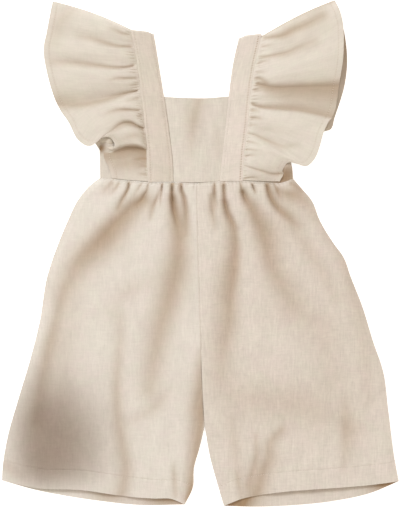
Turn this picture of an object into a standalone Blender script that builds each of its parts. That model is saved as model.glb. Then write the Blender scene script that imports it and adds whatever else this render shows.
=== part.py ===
"""Baby romper in plain linen, lying flat on its back.

A bib and two wide straps carry a ruffle on each shoulder, and two wide legs are gathered into the
waist seam. Each cut piece of cloth is one object. +X is to the right as the front is seen, +Y runs
from the hems to the shoulders and +Z up from the surface that the garment lies on.

Every table and size is in millimetres. "left" is the -X side.
"""
import bpy
import numpy

MM = 0.001

# Cloth and how its layers lie on each other
WALL = 1.2              # linen with its seam allowances
BAND = 1.8              # strap, folded double and topstitched
SEAM = 0.3              # clearance where two pieces meet
FIRST_LAYER = WALL + SEAM       # underside of cloth that lies on one layer
SECOND_LAYER = 2 * FIRST_LAYER  # underside of cloth that lies on two layers
BIB_LEVEL = 3.3                 # underside of the bib and of the straps' front run
STEEP_SEAM = SEAM + 0.4 * WALL  # the same clearance where cloth rises steeply from its seam

# Height of a leg's front over its back
LEG_CROWN = 10.0        # in the middle of the leg, just below the waist
CROWN_FALL = 0.45       # share of it lost on the way down to the knee
CROWN_FALL_LENGTH = 200.0       # distance from the waist to there
SEAM_ROLL = 24.0        # width over which the cloth rises from a seam
WAIST_RISE = 9.0        # length over which the gathers open below the waist seam
CENTRE_DIP = 1.6        # how far the centre-front seam pulls the crown down
DIP_WIDTH = 9.0         # over this distance from the seam
CROTCH_EASE = 32.0      # length below the crotch over which the cloth sinks to the inseams
CROTCH_DROP = 0.5       # how far the crotch pulls the crown down, as a share of it
CROTCH_REACH = 45.0     # over this distance from the crotch
DEEPEST = 0.85          # the deepest trough, as a share of the crown there

# Fineness of the grids: steps across and steps along
LEG_GRID = (54, 17)
ROW_CROWDING = 1.7      # crowds a leg's rows towards the waist
RUFFLE_STEPS = 8        # steps from a ruffle's seam to its hem
RAY_CROWDING = 1.35     # crowds the points of a ray towards the strap
FRONT_RAYS = 88         # steps along a ruffle's seam in front of its shoulder fold
BACK_RAYS = 16          # and behind it, where it lies flat
FOLD_SHARE = 0.64       # share of the ruffle that lies in front
BIB_GRID = (8, 8)
STRAP_RUN = 14          # steps along each of a strap's two runs
STRAP_BEND = 5          # steps round its shoulder fold
FLAT_EDGE = 12          # points along each edge of a flat panel
EDGE_STEPS = 40         # points that stand for one smooth stretch of an edge

LINEN = {
    "bodice": (0.80, 0.70, 0.59),
    "strap": (0.81, 0.71, 0.60),
    "ruffle": (0.83, 0.74, 0.63),
    "leg_left": (0.82, 0.73, 0.61),
    "leg_right": (0.78, 0.68, 0.57),
}
LINEN_ROUGHNESS = 0.9

# Edges, each a smooth line through (x, y) points
WAIST_LEFT = [(-3.6, 78.5), (-28, 78.5), (-57, 79), (-88, 81.5), (-110, 83.5)]
WAIST_RIGHT = [(-3.6, 78.5), (22, 79.8), (47, 80), (68, 79), (88, 78), (102, 82.5)]
CENTRE_SEAM = [(-3.6, 78.5), (-2.5, 15), (-0.5, -50), (3.2, -160), (4.5, -194)]
INSEAM_LEFT = [(4.5, -194), (-2, -218), (-6.5, -235), (-8.5, -256), (-17, -275.5)]
INSEAM_RIGHT = [(4.5, -194), (9.5, -218), (18, -248), (26, -277)]
SIDE_LEFT = [(-110, 83.5), (-122, 74), (-135.5, 57), (-145, 37), (-157, 8), (-168, -25),
             (-176, -73), (-187, -117), (-200, -160), (-212, -203), (-217, -233), (-218, -249)]
SIDE_RIGHT = [(102, 82.5), (112, 71), (122, 59), (131, 37), (146, 12), (158, -5), (164, -22),
              (178, -58), (190, -97), (200.5, -128), (206.5, -172), (214, -229), (218, -250)]
HEM_FRONT_LEFT = [(-17, -275.5), (-32, -268), (-51, -267.5), (-85, -266), (-130, -259.5),
                  (-183, -257), (-218, -249)]
HEM_FRONT_RIGHT = [(26, -277), (45, -268), (63.5, -263), (87, -260.5), (121, -258.5),
                   (158, -256.5), (187, -254), (218, -250)]
HEM_BACK_LEFT = [(-17, -275.5), (-69, -276), (-107, -272), (-145, -266.5), (-183, -259),
                 (-218, -249)]
HEM_BACK_RIGHT = [(26, -277), (63, -278), (101, -276.5), (148, -271.5), (187, -263), (218, -250)]

STRAP_OUTER_LEFT = [(-57, 79), (-58.5, 116), (-61.5, 147), (-65, 180), (-69.5, 213), (-75.5, 242.5)]
STRAP_INNER_LEFT = [(-30, 79), (-30.5, 98), (-33.5, 125), (-39.5, 169), (-44, 197), (-51, 240)]
STRAP_OUTER_RIGHT = [(46.5, 80), (48.5, 114), (52, 142), (55, 175), (60, 208), (67, 238.5)]
STRAP_INNER_RIGHT = [(21.5, 80), (24, 103), (27, 131), (31.5, 174), (36, 208), (42, 235.5)]
NECK = [(-40, 172.5), (-22, 171.5), (8, 171), (32, 173)]
NECK_BACK_DROP = 8.0    # the hidden back panel ends this far below the front neckline
BIB_CROWN = 1.6         # rise of the bib's middle
ARMHOLE_LEFT = [(-64.5, 175), (-73, 152), (-88, 132), (-110, 119)]
ARMHOLE_RIGHT = [(55, 175), (61, 147), (77, 121), (99, 103)]
UNDERARM_LEFT = (-110.3, 103)   # a point of the short side seam from armhole to waist
UNDERARM_RIGHT = (101, 92)

# Troughs in the legs' fronts. Each has a path that starts at the waist, its depth at the path's
# start, middle and end, and its half-width at start and end.
# name, path, depth_start, depth_mid, depth_end, width_start, width_end
TROUGHS_LEFT = [
    ("centre", [(-21, 78), (-18, 59), (-12, 28)], 8, 6, 0, 2.6, 6),
    ("deep", [(-31, 78), (-30, 54), (-24, 24), (-27, -5), (-39, -51), (-55, -133)], 9, 8, 0, 3, 15),
    ("short", [(-43, 78), (-42, 62), (-44, 42)], 7, 5, 0, 2.4, 5),
    ("branch", [(-49, 78), (-48, 64), (-56, 42)], 3, 3, 0, 2.4, 4),
    ("sweep", [(-57, 77), (-65, 62), (-87, 44), (-106, 25), (-117, 5), (-134, -16)], 8, 8, 0, 3, 13),
    ("slit", [(-78, 77), (-86, 55), (-97, 35)], 7, 6, 0, 2.8, 5),
    ("side", [(-93, 79), (-101, 66), (-110, 50)], 4, 3, 0, 2.8, 5),
    ("low", [(-127, -9), (-158, -73), (-174, -133)], 0, 2, 0, 10, 12),
    ("shin", [(-88, -29), (-95, -128), (-79, -260)], 0, 2.2, 0.5, 12, 12),
]
TROUGHS_RIGHT = [
    ("centre", [(14, 78), (15, 65), (18, 39)], 8, 6, 0, 2.6, 5),
    ("deep", [(25, 75), (27, 54), (38, 23), (39, -2), (36, -34), (24, -73)], 8, 7, 0, 3, 10),
    ("sweep", [(43, 77), (47, 61), (56, 46), (70, 12), (75, -9), (79, -29)], 8, 7.5, 0, 3, 11),
    ("short", [(56, 76), (60, 67), (66, 56)], 5, 3, 0, 2.4, 3.5),
    ("slant", [(72, 76), (77, 66), (98, 37), (113, 17)], 7, 6, 0, 2.8, 9),
    ("tuck", [(81, 77), (87, 66), (92, 56)], 5, 3, 0, 2.4, 3.5),
    ("thigh", [(88, -9), (104, -51), (115, -95)], 0, 2.4, 0, 10, 14),
    ("cuff", [(88, -194), (75, -211), (58, -260)], 0, 2, 0.6, 5, 6),
]
TROUGH_STEPS = 24       # points at which a trough's path is measured

# A ruffle is a fan of rays from the strap to the hem, from the front waist over the shoulder to
# the back waist. A ray is a parabola through its seam, middle and hem points. The last rows are
# the back run, which lies flat on the surface.
# seam_y, seam_z, mid_x, mid_y, mid_z, hem_x, hem_y, hem_z
RAYS_LEFT = [
    (80, 5.1, -77, 81, 5.4, -97, 83.4, 5.2),
    (94, 5.1, -78, 97, 7.4, -101, 95.5, 6),
    (106, 5.1, -79, 108, 5.8, -106, 108, 5.3),
    (111, 5.1, -77.5, 114.5, 5.4, -105.5, 115, 5.2),
    (113.5, 5.1, -76, 117, 8.2, -98.5, 113.5, 8.6),
    (116, 5.1, -76, 119, 11.6, -92.5, 117, 12),
    (120, 5.1, -77.5, 123, 14.8, -95, 125, 15.5),
    (126, 5.1, -81, 131, 17, -102.5, 128, 17.5),
    (135, 5.1, -85, 138.5, 13, -109, 126, 15.5),
    (143, 5.1, -88, 142, 7.6, -114, 121.5, 11.6),
    (149, 5.1, -95, 148, 11.4, -122, 118, 10.4),
    (158, 5.1, -102.5, 156, 13.5, -133.5, 124.5, 10.6),
    (166, 5.1, -109, 163, 12, -145, 145.5, 9.6),
    (175, 5.1, -111, 168, 8, -153.5, 157.5, 7),
    (181, 5.1, -109, 172.5, 5.6, -159, 168.5, 6),
    (184.5, 5.1, -112.5, 179, 10, -162, 177, 9),
    (188.5, 5.1, -115, 188.5, 16.4, -165.5, 189, 14),
    (194.5, 5.1, -117.5, 198.5, 14.6, -168.5, 201.5, 14),
    (206.5, 5.1, -119, 208, 8.6, -171, 215, 10.4),
    (215.5, 5.1, -120, 220, 15.6, -171.3, 226.5, 15),
    (222, 5.1, -120.5, 227, 15, -170.5, 233, 15.4),
    (228, 5.1, -120.5, 234, 9.6, -169, 239, 13.6),
    (236, 5.1, -119.5, 245.5, 14, -166.5, 252, 12.4),
    (242, 5.1, -119, 255.5, 12.4, -164.5, 263, 10),
    (244.5, 5, -118.5, 262, 8.2, -162.7, 273, 7),
    (246, 3, -118.5, 264.5, 4.4, -162, 277, 4.2),
    (244.5, 1, -118, 261, 1, -162, 272.5, 1),
    (237.5, 0.6, -118, 249.5, 0.6, -164, 257, 0.6),
    (206.5, 0.6, -118, 211, 0.6, -167, 211, 0.6),
    (167, 0.6, -109, 165, 0.6, -151, 162.5, 0.6),
    (127.5, 0.6, -90.5, 123, 0.6, -117, 124, 0.6),
    (103, 0.6, -81.5, 102.5, 0.6, -106, 105.5, 0.6),
    (80, 0.6, -77, 81, 0.6, -97, 83.4, 0.6),
]
RAYS_RIGHT = [
    (81, 5.1, 67, 80.2, 5.4, 87, 79.6, 5.2),
    (88.5, 5.1, 68, 87.5, 8.6, 91.5, 88.5, 7.4),
    (94.5, 5.1, 68, 92, 6.2, 90, 91, 6.6),
    (100, 5.1, 69, 97, 11, 92.5, 96.5, 10.4),
    (106.5, 5.1, 72, 107, 14.6, 97.5, 100.5, 13),
    (114, 5.1, 75, 114.5, 13, 106.5, 98.5, 12.4),
    (122, 5.1, 78.5, 119.5, 9, 116.5, 96, 10.5),
    (130, 5.1, 79.5, 124, 6.8, 124.5, 103, 10.6),
    (137, 5.1, 84.5, 131, 12.4, 130, 115.5, 12),
    (145, 5.1, 90, 141, 16, 135.2, 133.5, 13.6),
    (152.5, 5.1, 93, 150, 14, 140.5, 144.5, 11.4),
    (160, 5.1, 96.5, 158, 6.8, 145, 150.5, 5.8),
    (165, 5.1, 97.5, 163.5, 5.8, 148, 158.5, 5),
    (172.5, 5.1, 100.5, 174.5, 11, 150.5, 173.5, 9.4),
    (181, 5.1, 103, 187.5, 18, 153, 191.5, 16),
    (191, 5.1, 105.5, 200.5, 19, 156, 211.5, 18),
    (201, 5.1, 107.5, 211.5, 16, 157, 229, 16),
    (211, 5.1, 109.5, 222, 13, 157, 242, 13.4),
    (216.5, 5.1, 111, 228, 11, 156.5, 249.5, 11.6),
    (226.5, 5.1, 112.5, 240, 15, 154.5, 260.5, 11.2),
    (233, 5.1, 112.5, 249.5, 12, 152.5, 267.5, 10),
    (236, 5.1, 112, 257, 8.4, 150, 273.5, 7.8),
    (238.5, 3, 111.5, 263, 4.4, 148, 278, 4.2),
    (237, 1, 112, 260, 1, 150, 273, 1),
    (230, 0.6, 114.5, 249, 0.6, 154.5, 259.5, 0.6),
    (211, 0.6, 114, 220, 0.6, 161, 224, 0.6),
    (180, 0.6, 109.5, 182.5, 0.6, 159, 187, 0.6),
    (152, 0.6, 98.5, 148, 0.6, 147.5, 149, 0.6),
    (141, 0.6, 94, 134, 0.6, 143.5, 137, 0.6),
    (132, 0.6, 88, 125, 0.6, 134, 133.5, 0.6),
    (122, 0.6, 82, 113, 0.6, 118, 117, 0.6),
    (101, 0.6, 69, 96.5, 0.6, 97.5, 101, 0.6),
    (81, 0.6, 66, 80.2, 0.6, 86.5, 79.6, 0.6),
]
# Gathers pinched into a ruffle's front where it meets the strap; reach is a share of its width.
# seam_y, depth, reach
GATHERS_LEFT = [
    (90, 1.2, 0.15), (105, 2.4, 0.3), (138, 3, 0.22), (143, 4, 0.45), (148, 1.5, 0.15),
    (153, 2.2, 0.17), (160, 3, 0.38), (169, 2, 0.15), (175, 1.5, 0.12), (181, 5, 0.6),
    (190, 3, 0.3), (194, 3, 0.42), (201, 1.4, 0.12), (207, 4.5, 0.5), (219, 2, 0.15),
    (224, 2, 0.14), (228, 4.5, 0.5), (234, 2, 0.16), (241, 3, 0.36),
]
GATHERS_RIGHT = [
    (84, 2.4, 0.45), (90, 1.5, 0.15), (98, 3.4, 0.55), (108, 2, 0.2), (114, 1.8, 0.17),
    (122, 1.4, 0.15), (130, 3.4, 0.5), (135, 2, 0.2), (141, 1.6, 0.16), (149, 3, 0.2),
    (156, 1.6, 0.15), (161, 4, 0.6), (168, 3, 0.28), (175, 1.6, 0.14), (182, 4.6, 0.55),
    (192, 4.6, 0.5), (200, 1.6, 0.14), (205, 1.6, 0.14), (209, 2.4, 0.2), (216, 4.2, 0.35),
    (223, 1.6, 0.15), (237, 3.6, 0.45),
]
FRONT_SEAM = 5.1        # height of the ruffles' front seam, and their lowest front fold
GATHER_WIDTH = 1.9      # half-width of a pinched gather
PINCH_START = 0.08      # share of the ruffle's width over which a gather deepens from the seam
PUFF = 1.8              # how far a ruffle bulges up beside its seam, as a share of its rise
PUFF_REACH = 0.16       # share of its width over which it does


def clear_scene():
    """Remove everything that the new file starts with."""
    for item in list(bpy.data.objects):
        bpy.data.objects.remove(item, do_unlink=True)


def linen(slot):
    """The Principled material of one sub-part."""
    material = bpy.data.materials.get(slot) or bpy.data.materials.new(slot)
    material.use_nodes = True
    shader = material.node_tree.nodes["Principled BSDF"]
    shader.inputs["Base Color"].default_value = (*LINEN[slot], 1.0)
    shader.inputs["Roughness"].default_value = LINEN_ROUGHNESS
    shader.inputs["Metallic"].default_value = 0.0
    return material


def spline(points, places):
    """Points at the given shares of the length of a smooth line through points."""
    points = numpy.array(points, dtype=float)
    places = numpy.asarray(places, dtype=float)
    steps = numpy.linalg.norm(numpy.diff(points, axis=0), axis=1)
    knots = numpy.concatenate(([0.0], numpy.cumsum(steps))) / steps.sum()
    slopes = numpy.gradient(points, knots, axis=0)
    index = numpy.clip(numpy.searchsorted(knots, places, side="right") - 1, 0, len(steps) - 1)
    span = (knots[index + 1] - knots[index])[:, None]
    t = (places - knots[index])[:, None] / span
    return ((2 * t**3 - 3 * t**2 + 1) * points[index]
            + (t**3 - 2 * t**2 + t) * span * slopes[index]
            + (3 * t**2 - 2 * t**3) * points[index + 1]
            + (t**3 - t**2) * span * slopes[index + 1])


def even(steps):
    """Shares from 0 to 1 in the given number of steps."""
    return numpy.linspace(0.0, 1.0, steps + 1)


def edge(*stretches):
    """A fine line along an edge whose smooth stretches meet at corners."""
    lines = [spline(points, even(EDGE_STEPS)) for points in stretches]
    return numpy.concatenate([lines[0]] + [line[1:] for line in lines[1:]])


def read(line, places):
    """Points at the given shares of a fine line's length."""
    steps = numpy.linalg.norm(numpy.diff(line, axis=0), axis=1)
    shares = numpy.concatenate(([0.0], numpy.cumsum(steps))) / steps.sum()
    return numpy.stack([numpy.interp(places, shares, column) for column in line.T], axis=1)


def smooth(t):
    """Ease from 0 to 1 as t goes from 0 to 1."""
    t = numpy.clip(t, 0.0, 1.0)
    return t * t * (3.0 - 2.0 * t)


def rolled(distance, width):
    """Rise of a rolled edge: a quarter wave from 0 at the edge to 1 at width from it."""
    return numpy.sin(numpy.clip(distance / width, 0.0, 1.0) * numpy.pi / 2)


def hump(distance, width):
    """A soft hump of height 1, with its flanks width away from its top."""
    return numpy.exp(-(distance / width) ** 2)


def height_to_x(line, y):
    """Where a line that runs up or down the garment stands at the height y."""
    order = line[:, 1].argsort()
    return numpy.interp(y, line[order, 1], line[order, 0])


def between(line, low, high):
    """The stretch of a line that runs up the garment, from the height low to high."""
    y = numpy.linspace(low, high, EDGE_STEPS + 1)
    return numpy.column_stack((height_to_x(line, y), y))


def patch(top, bottom, start, end, across, along):
    """Grid of (x, y) points that blends four edges: top and bottom run from start to end."""
    u = across[None, :, None]
    v = along[:, None, None]
    upper, lower = read(top, across)[None], read(bottom, across)[None]
    first, last = read(start, along)[:, None], read(end, along)[:, None]
    corners = ((1 - v) * ((1 - u) * upper[:, :1] + u * upper[:, -1:])
               + v * ((1 - u) * lower[:, :1] + u * lower[:, -1:]))
    return (1 - v) * upper + v * lower + (1 - u) * first + u * last - corners


def sheet(name, grid, slot, collection, wall=WALL):
    """A piece of cloth: an open grid of points, given a wall by Solidify."""
    rows, columns = grid.shape[:2]
    faces = [(i * columns + j, i * columns + j + 1, (i + 1) * columns + j + 1, (i + 1) * columns + j)
             for i in range(rows - 1) for j in range(columns - 1)]
    mesh = bpy.data.meshes.new(name)
    mesh.from_pydata((grid.reshape(-1, 3) * MM).tolist(), [], faces)
    mesh.materials.append(linen(slot))
    mesh.shade_smooth()
    piece = bpy.data.objects.new(name, mesh)
    collection.objects.link(piece)
    solidify = piece.modifiers.new("wall", "SOLIDIFY")
    solidify.thickness = wall * MM
    solidify.offset = 0.0
    return piece


def flat_panel(name, edges, level, slot, collection):
    """A piece that lies flat, its underside at level: a filled outline with half its wall each way."""
    outline = numpy.concatenate([read(line, even(FLAT_EDGE))[:-1] for line in edges])
    curve = bpy.data.curves.new(name, "CURVE")
    curve.dimensions = "2D"
    curve.fill_mode = "BOTH"
    curve.extrude = WALL * MM / 2
    line = curve.splines.new("POLY")
    line.points.add(len(outline) - 1)
    for point, (x, y) in zip(line.points, outline):
        point.co = (x * MM, y * MM, 0.0, 1.0)
    line.use_cyclic_u = True
    curve.materials.append(linen(slot))
    piece = bpy.data.objects.new(name, curve)
    piece.location.z = (level + WALL / 2) * MM
    collection.objects.link(piece)
    return piece


def trough_depth(x, y, troughs):
    """How far the troughs lower the cloth at each point."""
    total = numpy.zeros_like(x)
    shares = even(TROUGH_STEPS)
    for _, path, depth_start, depth_mid, depth_end, width_start, width_end in troughs:
        line = spline(path, shares)
        gap = numpy.hypot(x[..., None] - line[:, 0], y[..., None] - line[:, 1])
        nearest = gap.argmin(axis=-1)
        share = shares[nearest]
        depth = numpy.interp(share, (0.0, 0.4, 1.0), (depth_start, depth_mid, depth_end))
        width = width_start + (width_end - width_start) * share
        total += depth * hump(gap.min(axis=-1), width)
    return total


def leg_edges(cut, hem, waist_gap):
    """A leg panel's waist, hem, centre-seam-and-inseam and side-seam edges."""
    inner = edge(CENTRE_SEAM, cut["inseam"]) + (cut["side"] * SEAM / 2, 0.0)
    waist = edge(cut["waist"]) - (0.0, waist_gap)
    waist[0] = inner[0] = (inner[0][0], waist[0][1])
    side = edge(cut["side_seam"])
    side[0] = waist[-1]
    bottom = edge(cut[hem])
    bottom[0] = inner[-1]
    return waist, bottom, inner, side


def leg_front(name, cut, collection):
    """A leg's front: gathered into the waist, crowned over its back and lifted at the hem."""
    edges = leg_edges(cut, "hem_front", STEEP_SEAM)
    flat = patch(*edges, even(LEG_GRID[0]), even(LEG_GRID[1]) ** ROW_CROWDING)
    x, y = flat[..., 0], flat[..., 1]
    from_side = numpy.hypot(x - x[:, -1:], y - y[:, -1:])
    from_inner = numpy.hypot(x - x[:, :1], y - y[:, :1])
    opened = smooth(numpy.hypot(x - x[:1], y - y[:1]) / WAIST_RISE)
    crotch_x, crotch_y = CENTRE_SEAM[-1]
    below_crotch = smooth((crotch_y - y[:, :1]) / CROTCH_EASE)
    dipped = 1 - CENTRE_DIP / LEG_CROWN * hump(from_inner, DIP_WIDTH)
    inner_rise = (1 - below_crotch) * dipped + below_crotch * rolled(from_inner, SEAM_ROLL)
    sunk = 1 - CROTCH_DROP * hump(numpy.hypot(x - crotch_x, y - crotch_y), CROTCH_REACH)
    side_rise = rolled(from_side, SEAM_ROLL)
    falling = 1 - CROWN_FALL * smooth((cut["waist"][0][1] - y) / CROWN_FALL_LENGTH)
    crown = LEG_CROWN * falling * side_rise * inner_rise * sunk * opened
    dip = trough_depth(x, y, cut["troughs"]) * opened * side_rise
    seam_level = FIRST_LAYER + (SECOND_LAYER - FIRST_LAYER) * (1 - opened)
    z = seam_level + WALL / 2 + crown - numpy.minimum(dip, DEEPEST * crown)
    return sheet(name, numpy.dstack((x, y, z)), "leg_" + name.split("_")[-1], collection)


def leg_back(name, cut, collection):
    """A leg's back, flat on the surface."""
    waist, hem, inner, side = leg_edges(cut, "hem_back", SEAM / 2)
    slot = "leg_" + name.split("_")[-1]
    return flat_panel(name, [waist, side, hem[::-1], inner[::-1]], 0.0, slot, collection)


def ruffle(name, cut, collection):
    """A gathered strip: rays from the strap's edge to the hem, joined by a smooth surface."""
    in_front, behind = even(FRONT_RAYS) * FOLD_SHARE, 1 - even(BACK_RAYS)[::-1] * (1 - FOLD_SHARE)
    rays = spline(cut["rays"], numpy.concatenate((in_front, behind[1:])))
    seam_y, seam_z = rays[:, 0], rays[:, 1]
    seam_x = height_to_x(edge(cut["strap_outer"]), seam_y) + cut["side"] * STEEP_SEAM
    seam = numpy.stack((seam_x, seam_y, seam_z), axis=1)[:, None]
    middle, hem = rays[:, None, 2:5], rays[:, None, 5:8]
    share = even(RUFFLE_STEPS) ** RAY_CROWDING
    s = share[None, :, None]
    grid = seam * (1 - s) * (1 - 2 * s) + middle * 4 * s * (1 - s) + hem * s * (2 * s - 1)

    is_front = smooth((seam_z - FRONT_SEAM / 2) / (FRONT_SEAM / 2))[:, None]
    puff = (middle[..., 2] - seam[..., 2]) * share / PUFF_REACH * numpy.exp(-share / PUFF_REACH)
    pinch = numpy.zeros_like(puff)
    for gather_y, depth, reach in cut["gathers"]:
        near = hump(seam_y - gather_y, GATHER_WIDTH)[:, None]
        pinch += depth * near * smooth(share / PINCH_START) * (1 - smooth(share / reach))
    lifted = grid[..., 2] + PUFF * puff * is_front
    floor = numpy.minimum(lifted, FRONT_SEAM)
    pinched = numpy.maximum(lifted - pinch, floor)
    grid[..., 2] = numpy.maximum(numpy.where(is_front > 0, pinched, grid[..., 2]), WALL / 2)
    return sheet(name, grid, "ruffle", collection)


def strap(name, outer, inner, collection):
    """A shoulder band: a front run, a fold at the shoulder and a back run flat on the surface."""
    outer_run, inner_run = read(outer, even(STRAP_RUN)), read(inner, even(STRAP_RUN))
    back_z, front_z = BAND / 2, BIB_LEVEL + BAND / 2
    radius = (front_z - back_z) / 2
    across = numpy.array([[0.0], [0.5], [1.0]])

    def row(step, z, beyond=0.0):
        """One line across the band, moved beyond the fold line along +Y."""
        flat = outer_run[step] * (1 - across) + inner_run[step] * across
        return numpy.column_stack((flat[:, 0], flat[:, 1] + beyond, numpy.full(3, z)))

    rows = [row(step, front_z) for step in range(STRAP_RUN + 1)]
    for step in range(1, STRAP_BEND):
        angle = numpy.pi * step / STRAP_BEND
        height = back_z + radius * (1 + numpy.cos(angle))
        rows.append(row(STRAP_RUN, height, radius * numpy.sin(angle)))
    rows += [row(step, back_z) for step in range(STRAP_RUN, -1, -1)]
    return sheet(name, numpy.array(rows), "strap", collection, wall=BAND)


def between_straps(neck_drop):
    """The four edges of a panel between the straps: neckline, right, waist and left."""
    neck = [(x, y - neck_drop) for x, y in NECK]
    waist_left, waist_right = STRAP_INNER_LEFT[0][1] + SEAM, STRAP_INNER_RIGHT[0][1] + SEAM
    left = between(edge(STRAP_INNER_LEFT), waist_left, neck[0][1]) + (SEAM, 0.0)
    right = between(edge(STRAP_INNER_RIGHT), waist_right, neck[-1][1]) - (SEAM, 0.0)
    top = edge([left[-1], *neck[1:-1], right[-1]])
    bottom = edge([left[0], (CENTRE_SEAM[0][0], CENTRE_SEAM[0][1] + SEAM), right[0]])
    return top, right, bottom, left


def bib(name, collection):
    """The front bib, slightly crowned between the straps."""
    top, right, bottom, left = between_straps(0.0)
    flat = patch(top, bottom, left[::-1], right[::-1], even(BIB_GRID[0]), even(BIB_GRID[1]))
    u = even(BIB_GRID[0])
    z = BIB_LEVEL + WALL / 2 + BIB_CROWN * 4 * u * (1 - u) + numpy.zeros((BIB_GRID[1] + 1, 1))
    return sheet(name, numpy.dstack((flat, z)), "bodice", collection)


def back_centre(name, collection):
    """The back panel between the straps' back runs, flat on the surface."""
    top, right, bottom, left = between_straps(NECK_BACK_DROP)
    return flat_panel(name, [top, right[::-1], bottom[::-1], left], 0.0, "bodice", collection)


def side_panel(name, cut, level, collection):
    """A small panel between a strap and the side seam, with the armhole cut into its top."""
    side, strap_edge = cut["side"], edge(cut["strap_outer"])
    low, high = cut["waist"][-1][1], cut["armhole"][0][1]
    seam_foot = cut["strap_outer"][0][1] + SEAM
    seam = between(strap_edge, seam_foot, high) + (side * SEAM, 0.0)
    waist = [(x, y + SEAM) for x, y in cut["waist"] if (x - seam[0][0]) * side > SEAM]
    foot = edge([seam[0], *waist])
    arm = edge([seam[-1], *cut["armhole"][1:]])
    underarm = edge([cut["armhole"][-1], cut["underarm"], (foot[-1][0], low + SEAM)])
    edges = [seam, arm, underarm, foot[::-1]]
    return flat_panel(name, edges, level, "bodice", collection)


CUTS = {
    "left": {
        "side": -1, "waist": WAIST_LEFT, "side_seam": SIDE_LEFT, "inseam": INSEAM_LEFT,
        "hem_front": HEM_FRONT_LEFT, "hem_back": HEM_BACK_LEFT,
        "strap_outer": STRAP_OUTER_LEFT, "strap_inner": STRAP_INNER_LEFT,
        "armhole": ARMHOLE_LEFT, "underarm": UNDERARM_LEFT,
        "rays": RAYS_LEFT, "gathers": GATHERS_LEFT, "troughs": TROUGHS_LEFT,
    },
    "right": {
        "side": 1, "waist": WAIST_RIGHT, "side_seam": SIDE_RIGHT, "inseam": INSEAM_RIGHT,
        "hem_front": HEM_FRONT_RIGHT, "hem_back": HEM_BACK_RIGHT,
        "strap_outer": STRAP_OUTER_RIGHT, "strap_inner": STRAP_INNER_RIGHT,
        "armhole": ARMHOLE_RIGHT, "underarm": UNDERARM_RIGHT,
        "rays": RAYS_RIGHT, "gathers": GATHERS_RIGHT, "troughs": TROUGHS_RIGHT,
    },
}


def build():
    """The whole garment, in its own collection."""
    clear_scene()
    romper = bpy.data.collections.new("baby_romper")
    bpy.context.scene.collection.children.link(romper)
    bib("bib_front", romper)
    back_centre("back_centre", romper)
    for label, cut in CUTS.items():
        strap("strap_" + label, edge(cut["strap_outer"]), edge(cut["strap_inner"]), romper)
        side_panel("side_front_" + label, cut, SECOND_LAYER, romper)
        side_panel("side_back_" + label, cut, FIRST_LAYER, romper)
        ruffle("ruffle_" + label, cut, romper)
        leg_front("leg_front_" + label, cut, romper)
        leg_back("leg_back_" + label, cut, romper)


build()
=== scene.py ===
"""Looks of the baby romper: thin linen shells in the folds that the garment lies in.

Every table and size is in millimetres, in the frame of the CAD model: +X to the right as the front
is seen, +Y towards the shoulders, +Z up from the floor. "left" is the -X side.
"""

import bpy
import numpy as np
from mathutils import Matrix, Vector


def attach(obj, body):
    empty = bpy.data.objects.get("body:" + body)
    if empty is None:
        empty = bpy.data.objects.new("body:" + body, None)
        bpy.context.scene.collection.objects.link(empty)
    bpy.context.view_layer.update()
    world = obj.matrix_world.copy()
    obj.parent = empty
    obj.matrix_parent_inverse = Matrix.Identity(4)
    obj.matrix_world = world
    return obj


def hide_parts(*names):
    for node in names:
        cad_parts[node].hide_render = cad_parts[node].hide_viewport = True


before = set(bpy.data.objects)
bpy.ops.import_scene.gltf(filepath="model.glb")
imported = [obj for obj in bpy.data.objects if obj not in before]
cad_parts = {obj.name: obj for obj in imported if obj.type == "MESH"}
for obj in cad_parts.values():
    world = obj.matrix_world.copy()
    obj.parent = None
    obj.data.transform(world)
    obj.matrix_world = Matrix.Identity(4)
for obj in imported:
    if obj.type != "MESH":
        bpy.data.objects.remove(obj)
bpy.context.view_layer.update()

MM = 0.001
CLOTH = 0.7  # linen
BACK_CLOTH = 0.8  # the panels that lie on the floor
STRAP_CLOTH = 1.7  # strap, folded double
TOUCH = 0.1  # gap between two pieces that are sewn together
LEG_LEVEL = 1.5  # underside of a leg's front at its side seam
WAIST_LEVEL = 3.9  # and where the waist seam holds it
BIB_LEVEL = 3.3  # underside of the bib and of the straps' front run
SIDE_FRONT_LEVEL = 3.0  # undersides of the small side panels
SIDE_BACK_LEVEL = 1.5

# A leg's front: its height over the back, and its small forms
LEG_CROWN = 10.0
CROWN_FALL = 0.72
CROWN_FALL_LENGTH = 330.0
EDGE_TURN = 0.4  # share of the rise in the fold itself
TURN_WIDTH = 9.0
DOME_WIDTH = 90.0
WAIST_RISE = 4.0
CENTRE_DIP = 1.3
DIP_WIDTH = 9.0
CROTCH_EASE = 32.0
CROTCH_DROP = 0.35
CROTCH_REACH = 45.0
DEEPEST = 0.9  # share of the crown that a crease may take
CRINKLE_REACH, CRINKLE_SLIM = 42.0, 0.7
CRINKLE_SIZE = (3.2, 13)
SEAM_GROOVE, SEAM_WIDTH = 0.9, 0.8  # of the centre seam
HEM_GROOVE = 0.25  # depth of the dip along a hem's stitches
PUCKER, PUCKER_LENGTH, PUCKER_REACH = 0.22, 2.6, 5  # the small waves beside it
# Height, width and length of the faint wrinkles that worn and washed linen keeps
WRINKLES = ((0.45, 34, 62), (0.34, 14, 27), (0.08, 5, 9))

# The soft grey-brown dark patch low on the left leg: its darkest point and how far it fades out each way
DARK_PATCH_CENTRE = (-170.0, -207.0)
DARK_PATCH_RIGHT, DARK_PATCH_LEFT, DARK_PATCH_UP, DARK_PATCH_DOWN = 65.0, 36.0, 72.0, 51.0
DARK_PATCH_SQUARE = 1.95  # 2 is an ellipse, more is boxier
DARK_PATCH_EDGE = 2.9  # how firmly it ends
DARK_PATCH_FIRM = 1.7  # how much more firmly it ends below

# Hems
LEG_HEM = 22.0  # depth of a leg's hem
RUFFLE_HEM = 6.0  # depth of a ruffle's narrow hem
HEM_RIDGE = 0.35  # how much thicker the cloth is there

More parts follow.
